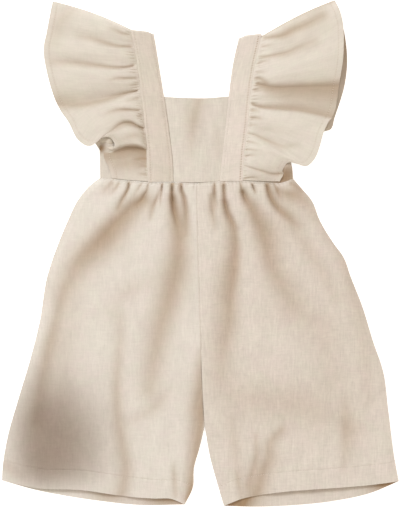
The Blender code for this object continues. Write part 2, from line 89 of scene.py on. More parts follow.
# Fineness of the grids: steps across and steps along
LEG_GRID = (230, 186)
HEM_ROWS = np.linspace(-2.6, 2.6, 9)  # more rows, across a hem's stitches
BACK_GRID = (40, 60)
PANEL_GRID = (34, 44)
BIB_GRID = (90, 112)
STRAP_GRID = (32, 230)
STRAP_BEND = 14
RUFFLE_STEPS = 42
HEM_SHARE = 0.91  # of a ray's length, up to the hem's finer steps
HEM_STEPS = 12
FRONT_RAYS = 640
BACK_RAYS = 70
STITCHED_RAYS = 610  # of a ruffle's front, up to where it turns under
FOLD_SHARE = 0.64
RAY_CROWDING = 1.25
ROW_CROWDING = 1.35
EDGE_STEPS = 120
RIM_ANGLE = 1.2  # the rim of a shell is steeper than this, in radians

# Straps and stitching
STRAP_CREST = 1.2  # how far the fold at the shoulder stands out
STRAP_CORNER = 2.2  # how far it is rounded at its inner end
STITCH_INSET = 2.75  # a topstitch's distance from the edge
STITCH_WIDTH = 0.6  # width of the shade along it
STITCH_PITCH = 2.7
STITCH_LENGTH = 1.7
STITCH_RADIUS = 0.24
STITCH_RISE = 0.12
STITCH_RINGS = 4
STITCH_SIDES = 6
GROOVE = 0.7  # width of the dip in the cloth along a row of stitches
# painted shade along the stitching of the legs' and the ruffles' hems
HEM_MARK = 0.06  # how much a hem's stitching is shaded
RUFFLE_MARK = 0.2
STRAP_GRAIN, RUFFLE_GRAIN = 200.0, 400.0  # where each is cut from the cloth

# Linen
THREAD = 0.45  # distance between two threads of the weave
THREAD_DRIFT = 2.2  # how far the slubs push them aside
WARP_SLUB, WARP_TONE = (1.8, 14.0), 0.062  # size of the streaks and how much they show
WEFT_SLUB, WEFT_TONE = (11.0, 1.8), 0.044
PATCH, PATCH_TONE = (15.0, 24.0), 0.042
HUE_PATCH = (24.0, 19.0)
WEAVE_HEIGHT, SLUB_HEIGHT = 0.014, 0.9
UNEVEN_YARN = 0.7  # how far the slubs stray from a regular spacing
# the tint of the soft dark patch low on the left leg
DARK_PATCH_TINT = (0.45, 0.385, 0.345)
# painted shade: the tint that darkens and warms the cloth's colour in its folds and gathers, along
# stitching and where other parts shade it
PAINTED_SHADE_TINT = (0.52, 0.385, 0.265)
# painted shade: the tint of each shell's inner face, the side turned in towards its other layers or the
# floor
INNER_FACE_SHADE_TINT = (0.96, 0.93, 0.89)
THREAD_COLOUR = (0.70, 0.66, 0.59)
HUE_SHIFT = (0.011, -0.007, 0.006)  # from greener to pinker undyed yarn


def rows_of(table):
    """The rows of a table; one that ends in a comma goes on in the next line."""
    return table.strip().replace(",\n", ", ").splitlines()


def numbers(text):
    """Points, or one row of numbers, parted by commas and spaces."""
    return np.array([point.split() for point in text.split(",")], dtype=float)


def edges(table):
    """The points of each edge by its name."""
    return {name: numbers(line) for name, line in (row.split(":") for row in rows_of(table))}


def creases(table):
    """The path, depths and half-widths of each crease, parted by |; one number stands for three."""
    rows = [[numbers(column) for column in row.split("|")] for row in rows_of(table)]
    return [(path, *(np.broadcast_to(column, (1, 3))[0] for column in rest)) for path, *rest in rows]


def rays(table):
    """The numbers of each ray."""
    return np.array([row.split() for row in rows_of(table)], dtype=float)


# Edges, each a smooth line through (x, y) points
EDGES_LEFT = edges("""
waist: -3.6 78.5, -28 78.5, -57 79, -88 81.5, -110 83.5
inseam: 5 -189, -1 -214, -7 -236, -8 -256, -17 -275.5
side_seam: -110 83.5, -122 74, -135.5 57, -145 37, -157 8, -168 -25, -176 -73, -187 -117,
-200 -160, -212 -203, -217 -233, -218 -249
hem_front: -17 -275.5, -32 -269.3, -51 -268.8, -85 -266, -130 -259.5, -183 -257, -218 -249
hem_back: -17 -275.5, -69 -276, -107 -272, -145 -266.5, -183 -259, -218 -249
strap_outer: -57 79, -58.5 116, -61.5 147, -65 180, -69.5 213, -75.5 242.5
strap_inner: -30 79, -30.5 98, -33.5 125, -39.5 169, -44 197, -51 240
armhole: -64.5 175, -73 152, -88 132, -110 119
underarm: -110.3 103
""")
EDGES_RIGHT = edges("""
waist: -3.6 78.5, 22 79.8, 47 80, 68 79, 88 78, 102 82.5
inseam: 5 -189, 10.5 -222, 17.5 -248, 26 -277
side_seam: 102 82.5, 112 71, 122 59, 131 37, 146 12, 158 -5, 164 -22, 178 -58, 190 -97, 200.5 -128,
206.5 -172, 214 -229, 218 -250
hem_front: 26 -277, 45 -269.5, 63.5 -265.5, 87 -262, 121 -259, 158 -256.5, 187 -254, 218 -250
hem_back: 26 -277, 63 -278, 101 -276.5, 148 -271.5, 187 -263, 218 -250
strap_outer: 46.5 80, 48.5 114, 52 142, 55 175, 60 208, 67 238.5
strap_inner: 21.5 80, 24 103, 27 131, 31.5 174, 36 208, 42 235.5
armhole: 55 175, 61 147, 77 121, 99 103
underarm: 101 92
""")
CENTRE_SEAM = [(-3.6, 78.5), (-2.5, 15), (-0.5, -50), (3.2, -160), (5, -189)]
NECK = [(-40, 172.5), (-22, 171.5), (8, 171), (32, 173)]
NECK_BACK_DROP = 8.0
BIB_CROWN = 1.6
BIB_WIDTH = 62.0
BIB_SOFT = 12.0  # width of the stiffer cloth at its neckline and waist
BIB_CREASED = 0.6  # how deep its creases are, as a share of the depth that sets the shade painted into them

# Creases in the legs' fronts, from the waist down. Depths and half-widths are given at the start,
# at MIDDLE of the length and at the end; the upper wall is the one that rises to the upper left.
# path | depths | half-widths of the upper wall | half-widths of the lower wall
CREASES_LEFT = creases("""
-30 60, -28 48, -26 35, -23 15, -24 -6, -29 -33, -35 -55,
-42 -77, -49 -111, -55 -150 | 3.6 3.1 1.3 | 5 14 11 | 5 13 11
-31 76, -31 61.5, -29 46, -26 35, -22.5 24 | 6 4 0 | 1.8 2 2.4 | 2.4 3.2 6
-20.5 76, -20 69.5, -17.5 62.5, -15.5 50.5, -15 37, -15.5 22 | 5 3.8 1.4 | 2.4 4 6 | 1.4 2.6 5
-63 59, -73 53, -81 45, -90 36, -110 14, -131 -8, -151 -46 | 3.5 4.8 1 | 6.5 10 12 | 10.5 15.5 15
-149 -37, -158 -73, -169 -117, -176 -152, -181 -183 | 0.8 2.1 1 | 6 7 8 | 8 10 12
-57 76, -58 70, -61 64.5, -64 59, -69.5 53 | 1.4 2.6 1.2 | 1.5 2.2 3.4 | 1.4 2.6 4
-78 77, -79 71.5, -81.5 66, -85.5 59, -89.5 50 | 4.4 3.7 1.7 | 1.8 2.3 3.6 | 1.4 1.9 3.4
-41.5 76, -42 70, -43 61.5, -43.5 51.5 | 4 2.2 0.3 | 1.3 1.5 2 | 1.1 1.3 2
-44.5 69, -47 61, -51 51.5, -54 38.5 | 0.8 2.3 0.8 | 2.4 2.8 4 | 1.6 2 3
-89 77, -92.5 71.5, -97.5 66 | 1.8 1.8 0.6 | 2 2.6 4 | 1.6 2 3
-97 77, -102.5 71.5, -109 64.5 | 1.8 1.4 0.3 | 3 4 6 | 3 4 5
-87 -71, -88 -100, -91 -139, -89 -187, -84 -216, -81 -238,
-83 -253, -87 -269 | 0.6 1.4 1.9 | 8 6.5 9 | 7 6.5 7.5
0.5 -108, 1 -144.5, 1.5 -169.5, 1.5 -187, -1.5 -205, -5 -227,
-9 -246.5, -11.5 -266.5 | 0.5 4.3 3.2 | 5 10.5 5 | 3
-8 -249, -9.5 -257.5, -14.5 -271 | 1 3 4 | 3 | 2
-29 -229, -28.5 -244.5, -26.5 -265.5 | 0.2 1.4 1.1 | 3 3 4 | 3 4 4
-33 -150, -48 -167, -63 -178, -79 -187 | 0.2 0.9 0.3 | 8 8 7 | 8 8 7
-138 -64, -147 -112, -152 -159 | 0.4 0.5 0.4 | 15 | 15
-216 -231, -207 -238, -196 -244 | 0.8 0.8 0.4 | 7 | 7
-55 -31, -81 -44, -96 -64 | 0.3 0.6 0.4 | 9 11 12 | 9 11 12
-119 74.5, -136.5 52.5, -151 26, -162 0, -169.5 -33, -175 -64 | 0.3 0.7 0.3 | 5 5 6 | 5 6 7
-64.5 76, -68 70.5, -72 63.5 | 1.4 1.2 0.3 | 1.8 2.4 3 | 1.6 2 3
""")
CREASES_RIGHT = creases("""
28 56, 32 42, 37 28, 39 15, 39 -5, 37 -24, 34 -42,
32 -73, 26 -106, 23 -134 | 2.4 3.3 0.8 | 5 12.5 14 | 3 6 12
26 75.5, 26.5 66, 27.5 55, 29.5 46, 34 37.5, 39.5 28.5 | 4.4 3.5 0.8 | 2.2 2.6 4 | 2 2.2 3
16 76, 16 70, 16 61.5, 17.5 50.5 | 2.6 3.6 1 | 2 2.8 3.6 | 1.4 2 3
12 63.5, 13 52.5, 14.5 41.5, 16 25 | 1.2 2.2 0.3 | 3 4 4 | 2 3 5
47 67, 51 58, 57 49, 62 38, 68 25, 72 12, 75 -2,
80 -18, 89 -34, 99 -51 | 3.8 3.2 0.5 | 3.4 9.5 10 | 3.8 14 13
44.5 77, 45.5 70.5, 48 63, 52 55 | 1.6 2.6 0 | 1.4 1.8 3 | 1.6 2.4 4
57 76, 59 71, 62 64 | 4.4 3.2 0.2 | 1.1 1.5 2 | 1.3 1.8 2
73.5 75.5, 75.5 66.5, 79.5 57.5, 86.5 48.5, 95.5 41, 106.5 30.5 | 6 4.6 1 | 2.4 3.6 5 | 2.6 4.6 7
94 39, 115 10, 136 -24, 149 -49 | 0.7 0.9 0.5 | 10 | 10
81 76.5, 84 71.5, 86.5 65, 89 59 | 2.2 2.4 0.4 | 1.4 2 3 | 1.2 2 3
86 69, 95 66, 106 64, 114 58, 121 49 | 1.8 3.2 1 | 5 7 9 | 7 10 10
100.5 77, 106 73.5, 111 69 | 2.2 2.6 1.6 | 3 | 3
89 -194, 78 -208, 75 -227, 69 -240, 65 -253, 60 -269 | 1.2 1.8 3 | 4 7 9 | 6 9 10
61.5 -200.5, 62 -221.5, 58 -238, 52.5 -255.5 | 0.6 1.4 1.4 | 4 4 5 | 4 5 6
40.5 -240, 42.5 -253, 46 -268.5 | 0.4 1.2 0.6 | 3 3 4 | 3 3 4
159 -163, 160 -198, 158 -236 | 0.5 1.5 0.4 | 6 | 9 13 8
37 -156, 66 -162, 110 -165 | 0.7 0.8 0.3 | 20 22 20 | 24 26 22
91 -38, 110 -66, 134 -78 | 0.6 1 0.5 | 18 19 18 | 18 19 18
133 39, 155 0, 170 -49, 181 -106, 185 -161 | 1.1 0.9 0.4 | 9 10 12 | 9 10 12
137 -100, 143 -119, 148 -139 | 0.5 | 20 | 20
105 -165, 138 -178, 167 -192 | 0.6 0.7 0.3 | 24 24 18 | 26 26 16
35 -183, 39 -216, 44 -244 | 0.4 0.7 0.5 | 8 | 8
""")
MIDDLE = 0.4
CREASE_SHARPNESS = 1.6
FOLD_DEPTH = 3.0  # depth at which the shade painted into a fold reaches about two thirds
UPPER_LEFT = (-0.7, 0.7)
TROUGH_STEPS = 150

# A ruffle is a fan of rays from the strap to the hem, as in the CAD model.
# seam_y seam_z mid_x mid_y mid_z hem_x hem_y hem_z
RAYS_LEFT = rays("""
80 4.6 -77 81 4.3 -97 83.4 4.3
94 5.1 -78 97 7.4 -101 95.5 6
106 5.1 -79 108 5.8 -106 108 5.3
111 5.1 -76.5 117 5.4 -104 117.5 5.2
113.5 5.1 -74.5 118.6 7.2 -97.5 114.2 7.4
116 5.1 -75 118 10.4 -94 119 9.4
120 5.1 -77.5 122.5 12.4 -96.5 125.5 11
126 5.1 -81 131 12.8 -103 128.3 12.4
135 5.1 -85 138.5 11.4 -109.5 126 13
143 5.1 -88 142 12 -114.5 121.5 14
149 5.1 -95 148 13.2 -122 118 13
158 5.1 -102.5 156 12.8 -133.5 124.5 10.6
166 5.1 -109 163 11.4 -145 145.5 8.4
175 5.1 -111 168 9.5 -153.5 157.5 8
181 5.1 -109 172.5 8 -159 168.5 7.5
184.5 5.1 -112.5 179 10.5 -162 177 8.5
188.5 5.1 -115 188.5 13.5 -165.5 189 10
194.5 5.1 -117.5 198.5 13.5 -168.5 201.5 10.5
206.5 5.1 -119 208 10.5 -171 215 10
215.5 5.1 -120 220 13.5 -171.3 226.5 11
222 5.1 -120.5 227 13.5 -170.5 233 11.2
228 5.1 -120.5 234 11 -169 239 10.8
236 5.1 -119.5 245.5 13 -166.5 252 10.5
242 5.1 -119 255.5 12 -164.5 263 9.5
244.5 5 -118.5 262 8.2 -162.7 273 7
246 3 -118.5 264.5 4.4 -162 277 4.2
244.5 1 -118 261 1 -162 272.5 1
237.5 0.6 -118 249.5 0.6 -164 257 0.6
206.5 0.6 -118 211 0.6 -167 211 0.6
167 0.6 -109 165 0.6 -151 162.5 0.6
127.5 0.6 -90.5 123 0.6 -117 124 0.6
103 0.6 -81.5 102.5 0.6 -106 105.5 0.6
80 0.6 -77 81 0.6 -97 83.4 0.6
""")
RAYS_RIGHT = rays("""
81 4.6 67 80.2 4.3 87 79.6 4.3
88.5 5.1 68 87.5 8.6 91.5 88.5 7
94.5 5.1 68 92 9.6 90 91 7
100 5.1 69 97 11 92.5 96.5 9.4
106.5 5.1 72 107 11.6 97.5 100.5 11.6
114 5.1 75 114.5 13 106.5 98.5 12.4
122 5.1 78.5 119.5 9 116.5 96 13.5
130 5.1 79.5 124 8.6 124.5 103 16
137 5.1 84.5 131 10.8 130 115.5 17
145 5.1 90 141 13.5 135.2 133.5 14.5
152.5 5.1 93 150 13 140.5 144.5 11.4
160 5.1 96.5 158 8.5 145 150.5 8
165 5.1 97.5 163.5 9 148 158.5 8.5
172.5 5.1 100.5 174.5 11.5 150.5 173.5 10.4
181 5.1 103 187.5 14 153 191.5 12.5
191 5.1 105.5 200.5 16 156 211.5 14.5
201 5.1 107.5 211.5 15 157 229 14
211 5.1 109.5 222 13.5 157 242 12.5
216.5 5.1 111 228 12.5 156.5 249.5 11.6
226.5 5.1 112.5 240 13.5 154.5 260.5 11.2
233 5.1 112.5 249.5 12 152.5 267.5 10
236 5.1 112 257 8.4 150 273.5 7.8
238.5 3 111.5 263 4.4 148 278 4.2
237 1 112 260 1 150 273 1
230 0.6 114.5 249 0.6 154.5 259.5 0.6
211 0.6 114 220 0.6 161 224 0.6
180 0.6 109.5 182.5 0.6 159 187 0.6
152 0.6 98.5 148 0.6 147.5 149 0.6
141 0.6 94 134 0.6 143.5 137 0.6
132 0.6 88 125 0.6 134 133.5 0.6
122 0.6 82 113 0.6 118 117 0.6
101 0.6 69 96.5 0.6 97.5 101 0.6
81 0.6 66 80.2 0.6 86.5 79.6 0.6
""")
# Creases of the ruffles' fronts, from the strap out, in the same columns as those of the legs
FOLDS_LEFT = creases("""
-75 240, -84 241, -92.5 244.5, -102.5 248.5 | 1.2 1.4 0 | 1.4 2.2 4 | 1.4 2.6 4
-75 227, -90.5 227.5, -101.5 230, -114.5 234, -132.5 237.5 | 2 1.9 0.4 | 1.2 2.4 5 | 1.4 2.8 4
-73 206.5, -81.5 204.5, -95 204, -112.5 206, -136.5 209, -161 210 | 2.3 1.8 0.8 | 1.2 2.4 5 | 1.4 2.6 6
-69.5 192.5, -80.5 192, -92.5 191.5, -103.5 188 | 1.6 1.8 0 | 1.2 1.8 3 | 1.2 2.4 4
-69.5 179, -77.5 177, -90.5 173, -103.5 169, -114.5 166, -128 163.5,
-143.5 163, -156.5 163.5 | 2.7 2 2 | 1.2 4.5 12 | 1.4 4 5
-64 186, -70.5 185.5, -78.5 183.5 | 1.4 0.8 0 | 1 1.4 2 | 1 1.6 2
-67.5 157, -77.5 157.5, -90.5 157, -103.5 153 | 2 2.2 0.3 | 1.2 2 3 | 1.2 2.4 4
-63 170.5, -73 169, -84 167 | 1.4 1 0 | 1.2 1.8 3 | 1 1.6 3
-61 137.5, -67.5 139.5, -76 143.5, -85 143, -91.5 139, -97 134 | 3.6 3.6 0.8 | 1.2 1.8 3 | 1.4 3.6 5
-61 129.5, -74 128.5, -89.5 123 | 0.8 1.2 0.3 | 5 | 5
-59.5 150.5, -65 151, -70.5 150.5 | 2.6 1.8 0 | 1 1.6 2 | 1 1.4 2
-59 134.5, -63 135.5, -68.5 135.5 | 2.2 1.4 0 | 1 1.4 2 | 1 1.2 2
-106 109, -96 110.5, -88.5 114, -79.5 117, -68.5 117, -58.5 113 | 2 4.4 5.2 | 2.8 2 1.6 | 9 12 11
-57 101, -71 99, -90 97 | 1.2 1.6 1.2 | 6 7 7 | 6 8 8
-58.5 104.5, -67.5 104.5, -75 103 | 2.6 2 0 | 1.2 1.6 3 | 1 1.4 3
-107 116.5, -103.5 105.5, -99.5 92 | 0.9 0.8 0.3 | 3 | 3
-57.5 95.5, -63 96, -70.5 94.5 | 1.6 1 0 | 1.4 2 3 | 1 1.6 3
-57.5 86.5, -63 87, -69.5 86.5 | 1.6 1 0 | 1.2 2 3 | 1 1.6 3
-138 270, -152 255, -160 233 | 0.5 0.9 0.5 | 9 | 9
""")
FOLDS_RIGHT = creases("""
67 236.5, 79 237.5, 90 239, 103 245.5, 116.5 251, 134 260.5 | 2 3 1.8 | 1.6 5.4 7 | 1.6 5 6.5
64.5 227.5, 72.5 227.5, 83.5 229 | 1.4 1 0 | 1.2 2 3 | 1 1.8 3
63.5 216, 72.5 216, 82 217.5, 94.5 220, 107.5 225.5, 125 232 | 1.6 1.8 0.8 | 1.4 2.4 4 | 1.4 4 7
59 207, 69 210.5, 79 210 | 2 1.4 0 | 1.2 2 3 | 1 1.6 3
57 199, 65.5 198.5, 76.5 199 | 1.6 1 0 | 1.2 2 3 | 1 1.6 3
57 191.5, 63.5 192.5, 72.5 187 | 2.6 2.4 1.6 | 1.2 1.8 3 | 1.2 2 3
63.5 186.5, 74.5 183, 90 182, 109.5 182.5, 129.5 183, 151.5 183.5 | 3.2 3 3.5 | 2 4 6 | 3 14 20
53.5 166, 63.5 161.5, 76.5 159.5, 92 158.5, 109.5 157,
129.5 153, 147 149 | 2.6 2.2 2 | 1.4 5 8 | 1.2 1.8 2
54.5 179.5, 61.5 179.5, 68 178 | 2.8 2 0 | 1.2 1.8 3 | 1 1.6 3
53 157.5, 59 157, 68 156 | 2.4 1.6 0 | 1.2 1.8 3 | 1 1.6 3
52 149, 59 149, 70 147 | 2.6 2.2 0 | 1.2 1.8 3 | 1 1.6 3
51.5 133, 61.5 129.5, 72.5 124.5, 81 121, 92 117, 105.5 119.5 | 0.8 1.5 0.3 | 1 2 3 | 1.2 2.6 5
50.5 140.5, 57 141, 65.5 140 | 1.4 1 0 | 1.2 1.6 2 | 1 1.4 2
50.5 123, 59 121.5, 68 118.5 | 1.4 1 0 | 1.2 1.6 2 | 1 1.4 2
50 114, 57 113.5, 64.5 112 | 1.6 1 0 | 1 1.4 2 | 1 1.2 2
49 107.5, 57 107.5, 63.5 107 | 1.6 1 0 | 1 1.4 2 | 1 1.2 2
48 97, 54.5 94.5, 68 90.5, 79 87.5, 90 88 | 0.8 1.3 2 | 1 1.4 2 | 1 1.8 3
47.5 82.5, 57 83.5, 67 82.5 | 1.8 1 0 | 1 1.2 2 | 1 1.2 2
""")
# Soft creases of the bib, in the same columns
FOLDS_BIB = creases("""
0 170, -5 153, -8 133, -11 112 | 1.2 1.5 0.3 | 9 9 7 | 6 7 7
18.5 136, 20.5 118.5, 18.5 101 | 0.2 0.4 0.1 | 5 | 5
""")
FRONT_SEAM = 5.1  # height of the ruffles' seam at the front
CURL_REACH = 8.0  # of the edge that curls up over the left side panel
BEHIND_LOW, BEHIND_FADE = 172.0, 68.0  # where the shade painted on the back run behind a front hem fades out
RUFFLE_FLOOR = 4.2  # the lowest point of a ruffle's front folds
PINCH_START = 0.06  # share of a ray at which the gathers have their full depth
PUFF = 1.3  # how much the cloth bulges up beside its seam
SEAM_SINK = 0.7  # how far a ruffle lies below the strap's top at their seam
WAVE = 0.55  # how much of the ruffles' broad waves is left in this light, thin cloth
PUFF_REACH = 0.16
WAVE_BLUR = 45  # rays
SMALL_GATHER = 3.1  # distance between a ruffle's or a leg's smallest gathers
FIRST_GATHER = 83.0
GATHER_LIMITS = ((0.4, 1.5), (0.07, 0.17), (0.5, 0.8))  # of depth, reach and width
GATHER_SPREAD = 1.2  # how much wider they get towards the hem

SHADES = np.random.default_rng(7)  # the one source of everything uneven


def added_up(steps):
    """Distance from the start after each step."""
    return np.concatenate(([0.0], np.cumsum(steps)))


def lengths(line):
    """Distance along a line at each of its points."""
    return added_up(np.linalg.norm(np.diff(line, axis=0), axis=-1))


def spline(through, places):
    """Points at shares of the length of a smooth line through some points."""
    through = np.array(through, dtype=float)
    steps = np.linalg.norm(np.diff(through, axis=0), axis=1)
    knots = added_up(steps) / steps.sum()
    slopes = np.gradient(through, knots, axis=0)
    index = np.clip(np.searchsorted(knots, places, side="right") - 1, 0, len(steps) - 1)
    span = (knots[index + 1] - knots[index])[:, None]
    t = (places - knots[index])[:, None] / span
    return ((2 * t**3 - 3 * t**2 + 1) * through[index]
            + (t**3 - 2 * t**2 + t) * span * slopes[index]
            + (3 * t**2 - 2 * t**3) * through[index + 1]
            + (t**3 - t**2) * span * slopes[index + 1])


def even(steps):
    """Shares from 0 to 1 in the given number of steps."""
    return np.linspace(0.0, 1.0, steps + 1)


def edge(*stretches):
    """A fine line along an edge whose smooth stretches meet at corners."""
    lines = [spline(stretch, even(EDGE_STEPS)) for stretch in stretches]
    return np.concatenate([lines[0]] + [line[1:] for line in lines[1:]])


def read(line, places):
    """Points at the given shares of a fine line's length."""
    shares = lengths(line) / lengths(line)[-1]
    return np.stack([np.interp(places, shares, column) for column in line.T], axis=1)


def smooth(t):
    """Ease from 0 to 1 as t goes from 0 to 1."""
    t = np.clip(t, 0.0, 1.0)
    return t * t * (3.0 - 2.0 * t)


def rolled(distance, width):
    """Rise of a rolled edge: a quarter wave from 0 at the edge to 1 at width from it."""
    return np.sin(np.clip(distance / width, 0.0, 1.0) * np.pi / 2)


def domed(distance):
    """Rise from a folded edge: a tight turn at the fold and then a broad low dome."""
    return EDGE_TURN * rolled(distance, TURN_WIDTH) + (1 - EDGE_TURN) * rolled(distance, DOME_WIDTH)


def hump(distance, width):
    """A soft hump of height 1, with its flanks width away from its top."""
    return np.exp(-(distance / width) ** 2)


def spot(x, y, centre_x, centre_y, reach):
    """A soft round spot of height 1."""
    return hump(np.hypot(x - centre_x, y - centre_y), reach)


def away(grid, line):
    """Distance of a grid's points from the line along one of its edges."""
    return np.linalg.norm(grid - line, axis=-1)


def hemmed(cloth, hem, from_hem, ease):
    """Thickness of the cloth, thicker where the hem is turned up."""
    return cloth + HEM_RIDGE * smooth((hem - from_hem) / ease + 0.5)


def crossing(line, y):
    """The x at which a line that runs up or down crosses y, or with [:, ::-1] the y at x."""
    order = line[:, 1].argsort()
    return np.interp(y, line[order, 1], line[order, 0])


def up_to(high, points):
    """The stretch of an edge that runs up the garment, from its foot to the height high."""
    y = np.linspace(points[0][1], high, EDGE_STEPS + 1)
    return np.column_stack((crossing(edge(points), y), y))


def patch(top, bottom, start, end, across, along):
    """Grid of (x, y) points that blends four edges: top and bottom run from start to end."""
    u = across[None, :, None]
    v = along[:, None, None]
    upper, lower = read(top, across)[None], read(bottom, across)[None]
    first, last = read(start, along)[:, None], read(end, along)[:, None]
    corners = ((1 - v) * ((1 - u) * upper[:, :1] + u * upper[:, -1:])
               + v * ((1 - u) * lower[:, :1] + u * lower[:, -1:]))
    return (1 - v) * upper + v * lower + (1 - u) * first + u * last - corners


def unevenness(x, y, size_x, size_y):
    """Smooth random heights between -1 and 1, with lumps of about the given size."""
    x, y = np.asarray(x) / size_x, np.asarray(y) / size_y
    x, y = x - x.min() + 0.5, y - y.min() + 0.5
    values = SHADES.uniform(-1, 1, (int(y.max()) + 3, int(x.max()) + 3))
    column, row = x.astype(int), y.astype(int)
    u, v = smooth(x - column), smooth(y - row)
    low = values[row, column] * (1 - u) + values[row, column + 1] * u
    high = values[row + 1, column] * (1 - u) + values[row + 1, column + 1] * u
    return low * (1 - v) + high * v


# Objects

def placed(name, data, place=(0, 0, 0)):
    """An object at a place in metres."""
    made = bpy.data.objects.new(name, data)
    made.location = place
    bpy.context.scene.collection.objects.link(made)
    return made


def mesh_object(name, points, faces, material):
    """A smooth-shaded mesh from points in millimetres, riding on the garment."""
    mesh = bpy.data.meshes.new(name)
    mesh.from_pydata((points * MM).tolist(), [], faces)
    mesh.materials.append(material)
    mesh.shade_smooth()
    mesh.set_sharp_from_angle(angle=RIM_ANGLE)
    piece = placed(name, mesh)
    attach(piece, "root")
    return piece


def attribute(piece, name, values):
    """Store a value or a vector for each point of a piece, for its material to read."""
    kind, field = ("FLOAT", "value") if values.ndim == 1 else ("FLOAT_VECTOR", "vector")
    made = piece.data.attributes.new(name, kind, "POINT")
    made.data.foreach_set(field, values.ravel().astype(np.float32))


# Materials

def node(tree, kind, inputs=None, **settings):
    """A shader node with its inputs linked from sockets or set to values."""
    made = tree.nodes.new(kind)
    for key, value in settings.items():
        setattr(made, key, value)
    for key, value in (inputs or {}).items():
        if isinstance(value, bpy.types.NodeSocket):
            tree.links.new(value, made.inputs[key])
        else:
            made.inputs[key].default_value = value
    return made


def maths(tree, operation, *values, kind="ShaderNodeMath"):
    """The result of one sum on sockets or numbers."""
    return node(tree, kind, operation=operation, inputs=dict(enumerate(values))).outputs[0]


def vectors(tree, operation, *values):
    """The result of one sum on vectors or colours."""
    return maths(tree, operation, *values, kind="ShaderNodeVectorMath")


def streaked(tree, place, wide, long):
    """Streaks of the given size in millimetres, from about -1 to 1."""
    scaled = vectors(tree, "MULTIPLY", place, (1 / wide, 1 / long, 1.0))
    noise = node(tree, "ShaderNodeTexNoise",
                 inputs={"Vector": scaled, "Scale": 1.0, "Detail": 2.0, "Roughness": 0.6,
                         "Distortion": UNEVEN_YARN})
    return maths(tree, "MULTIPLY_ADD", noise.outputs["Fac"], 4.0, -2.0)


def principled(name, **values):
    """A material, its node tree and its shader, with these values in its sockets."""
    material = bpy.data.materials.new(name)
    material.use_nodes = True
    shader = material.node_tree.nodes["Principled BSDF"]
    for socket, value in values.items():
        shader.inputs[socket.replace("_", " ")].default_value = value
    return material, material.node_tree, shader


def tinted(tree, colour, mark, tint):
    """The colour, multiplied by a tint where the cloth has the mark."""
    strength = node(tree, "ShaderNodeAttribute", attribute_name=mark).outputs["Fac"]
    return node(tree, "ShaderNodeMix", data_type="RGBA", blend_type="MULTIPLY",
                inputs={0: strength, 6: colour, 7: (*tint, 1.0)}).outputs[2]


def linen(name, colour, slub):
    """Undyed plain-woven linen: slubs along both threads, an open weave and a faint sheen."""
    material, tree, shader = principled(name, Roughness=0.92, Specular_IOR_Level=0.25,
                                        Sheen_Weight=0.12, Sheen_Roughness=0.5)
    place = node(tree, "ShaderNodeAttribute", attribute_name="grain").outputs["Vector"]
    warp, weft = streaked(tree, place, *WARP_SLUB), streaked(tree, place, *WEFT_SLUB)
    patches, hues = streaked(tree, place, *PATCH), streaked(tree, place, *HUE_PATCH)

    streaks = maths(tree, "ADD", maths(tree, "MULTIPLY", warp, WARP_TONE * slub),
                    maths(tree, "MULTIPLY", weft, WEFT_TONE * slub))
    tone = maths(tree, "ADD", streaks, maths(tree, "MULTIPLY", patches, PATCH_TONE))
    bright = maths(tree, "ADD", tone, 1.0)
    shown = vectors(tree, "MULTIPLY", vectors(tree, "MULTIPLY_ADD", hues, HUE_SHIFT, colour), bright)
    # the dark patch, then painted shade: on each shell's inner face (inside) and in its folds, along
    # stitching and under other parts (fold)
    for mark, tint in (("stain", DARK_PATCH_TINT), ("inside", INNER_FACE_SHADE_TINT), ("fold", PAINTED_SHADE_TINT)):
        shown = tinted(tree, shown, mark, tint)
    tree.links.new(shown, shader.inputs["Base Color"])

    split = node(tree, "ShaderNodeSeparateXYZ", inputs={0: place})
    over, under = (maths(tree, "SINE", maths(tree, "MULTIPLY_ADD", split.outputs[k], np.pi / THREAD,
                                             maths(tree, "MULTIPLY", drift, THREAD_DRIFT)))
                   for k, drift in ((0, warp), (1, weft)))
    weave = maths(tree, "MULTIPLY", over, under)
    height = maths(tree, "ADD", maths(tree, "MULTIPLY", weave, WEAVE_HEIGHT),
                   maths(tree, "MULTIPLY", streaks, SLUB_HEIGHT))
    bump = node(tree, "ShaderNodeBump", inputs={"Strength": 0.55, "Distance": MM, "Height": height})
    tree.links.new(bump.outputs["Normal"], shader.inputs["Normal"])
    return material


def sewing_thread():
    """Spun thread, slightly smoother than the cloth."""
    material, tree, shader = principled("thread", Roughness=0.7)
    place = node(tree, "ShaderNodeTexCoord").outputs["Object"]
    noise = node(tree, "ShaderNodeTexNoise", inputs={"Vector": place, "Scale": 900.0, "Detail": 1.0})
    tone = maths(tree, "MULTIPLY_ADD", noise.outputs["Fac"], 0.16, 0.92)
    spun = tinted(tree, vectors(tree, "MULTIPLY", THREAD_COLOUR, tone), "stain", DARK_PATCH_TINT)
    tree.links.new(spun, shader.inputs["Base Color"])
    return material


# Legs

def crease_depth(x, y, table):
    """How far the creases lower the cloth at each point."""
    total = np.zeros_like(x)
    shares = even(TROUGH_STEPS)
    for path, depths, upper, lower in table:
        line = spline(path, shares)
        across = np.gradient(line, axis=0)[:, ::-1] * (-1, 1)
        across /= np.linalg.norm(across, axis=1, keepdims=True)
        across *= np.sign((across @ UPPER_LEFT).sum())
        reach = 3 * max(*upper, *lower)
        low, high = line.min(axis=0) - reach, line.max(axis=0) + reach
        near = (x > low[0]) & (x < high[0]) & (y > low[1]) & (y < high[1])
        offset = np.stack((x[near], y[near]), axis=-1)[:, None] - line
        gap = np.hypot(offset[..., 0], offset[..., 1])
        nearest = gap.argmin(axis=-1)
        index = np.arange(len(nearest))
        share, gap = shares[nearest], gap[index, nearest]
        side = (offset[index, nearest] * across[nearest]).sum(axis=-1) / np.maximum(gap, 1e-6)
        above = smooth(side / 2 + 0.5)
        depth, high_wall, low_wall = (np.interp(share, (0.0, MIDDLE, 1.0), column)
                                      for column in (depths, upper, lower))
        width = low_wall + (high_wall - low_wall) * above
        total[near] += depth * np.exp(-(gap / width) ** CREASE_SHARPNESS)
    return total


